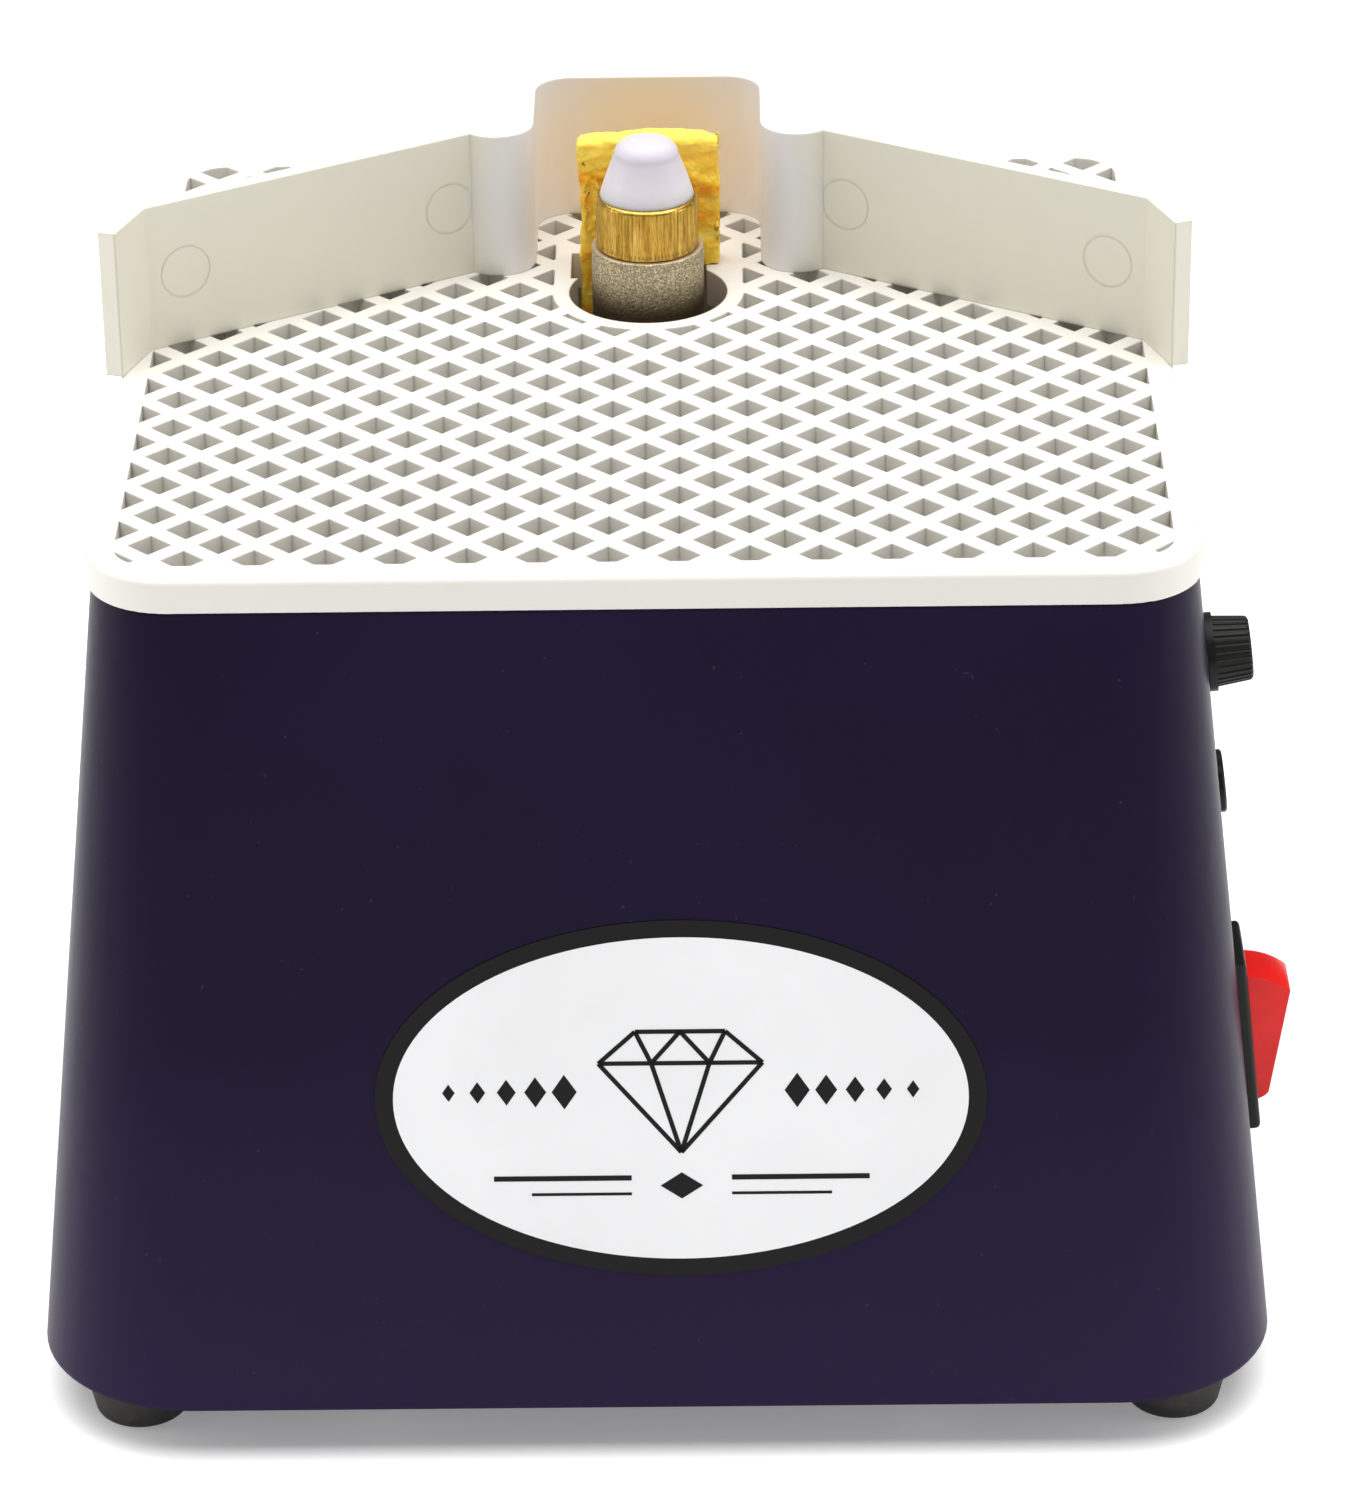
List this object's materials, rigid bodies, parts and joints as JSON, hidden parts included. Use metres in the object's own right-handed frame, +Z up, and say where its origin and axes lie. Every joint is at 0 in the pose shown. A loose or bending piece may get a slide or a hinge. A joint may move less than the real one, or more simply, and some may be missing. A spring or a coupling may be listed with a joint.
{
  "type": "glass grinder",
  "caption": "Bench-top glass grinder with a tapered housing, lift-off perforated work surface, splash guard, water tray and a vertical motor spindle with a diamond bit.",
  "frame": {"origin": "on the bench, at the middle of the grinder's footprint", "axes": "+Z up, +Y from the front with the label towards the back, +X to the user's right, where the switch is"},
  "size_m": [0.2054, 0.2032, 0.1798],
  "materials": {
    "housing_plastic": "smooth moulded dark purple, semi-gloss",
    "steel": "bright machined steel",
    "zinc_steel": "zinc-plated pressed steel",
    "rubber": "matt black moulded rubber",
    "label": "white vinyl sticker with a black border and a plain emblem",
    "white_plastic": "white moulded plastic, satin",
    "tray_plastic": "moulded plastic with a film of glass mud",
    "ivory_plastic": "off-white moulded plastic, satin",
    "sponge": "open-celled yellow cellulose sponge",
    "bronze": "sintered bronze",
    "black_plastic": "black moulded plastic",
    "ferrite": "dark grey ferrite",
    "carbon": "pressed carbon",
    "brass": "polished and knurled brass",
    "laminations": "stacked steel laminations",
    "copper": "bare and enamelled copper",
    "diamond_grit": "plated diamond grit, rough",
    "nylon": "translucent white nylon",
    "red_plastic": "clear red plastic",
    "circuit_board": "green lacquered laminate",
    "capacitor_sleeve": "dark blue shrink sleeve",
    "aluminium": "extruded aluminium",
    "wire_red": "red insulation",
    "wire_black": "black insulation"
  },
  "bodies": {
    "root": {"housing": "housing_plastic", "base_plate": "housing_plastic", "base_plate_screws": "steel", "rubber_feet": "rubber", "foot_screws": "steel", "front_label": "label", "motor_bracket": "zinc_steel", "bracket_screws": "steel", "motor_can": "zinc_steel", "motor_screws": "steel", "upper_bearing": "bronze", "lower_bearing": "bronze", "motor_end_cap": "black_plastic", "motor_magnets": "ferrite", "carbon_brushes": "carbon", "brush_holders": "brass", "switch_body": "black_plastic", "switch_terminals": "brass", "pot_body": "zinc_steel", "pot_nut": "steel", "power_inlet": "black_plastic", "inlet_pin": "brass", "inlet_nut": "steel", "board_standoffs": "brass", "control_board": "circuit_board", "board_screws": "steel", "board_capacitors": "capacitor_sleeve", "board_heat_sink": "aluminium", "board_transistor": "black_plastic", "motor_leads": "wire_red", "switch_leads": "wire_black"},
    "spindle": {"motor_shaft": "steel", "rotor_core": "laminations", "rotor_windings": "copper", "commutator": "copper", "shaft_slinger": "rubber"},
    "head": {"bit_core": "brass", "bit_set_screw": "steel", "diamond_band": "diamond_grit", "bit_cap": "nylon"},
    "tray": {"water_tray": "tray_plastic"},
    "grid": {"work_grid": "white_plastic"},
    "guard": {"splash_guard": "ivory_plastic"},
    "wet_sponge": {"sponge": "sponge"},
    "rocker": {"rocker_button": "red_plastic"},
    "knob": {"speed_knob": "black_plastic", "pot_shaft": "steel"}
  },
  "joints": [
    {"name": "spindle_spin", "type": "hinge", "parent": "root", "child": "spindle", "pos_m": [0, 0.02445, 0.15185], "axis": [0, 0, 1], "continuous": true},
    {"name": "head_height", "type": "slide", "parent": "spindle", "child": "head", "axis": [0, 0, 1], "range_m": [-0.002, 0.025]},
    {"name": "power_rocker", "type": "hinge", "parent": "root", "child": "rocker", "pos_m": [0.09664, -0.06155, 0.0568], "axis": [0, 1, 0], "range_deg": [-20, 0]},
    {"name": "speed_knob_turn", "type": "hinge", "parent": "root", "child": "knob", "pos_m": [0.08866, -0.06155, 0.12545], "axis": [0.9941, 0, 0.1084], "range_deg": [-140, 140]},
    {"name": "tray_lift", "type": "slide", "parent": "root", "child": "tray", "axis": [0, 0, 1], "range_m": [0, 0.07]},
    {"name": "grid_lift", "type": "slide", "parent": "tray", "child": "grid", "axis": [0, 0, 1], "range_m": [0, 0.05]},
    {"name": "guard_lift", "type": "slide", "parent": "grid", "child": "guard", "axis": [0, 0, 1], "range_m": [0, 0.04]},
    {"name": "sponge_lift", "type": "slide", "parent": "grid", "child": "wet_sponge", "axis": [0, 0, 1], "range_m": [0, 0.04]}
  ]
}
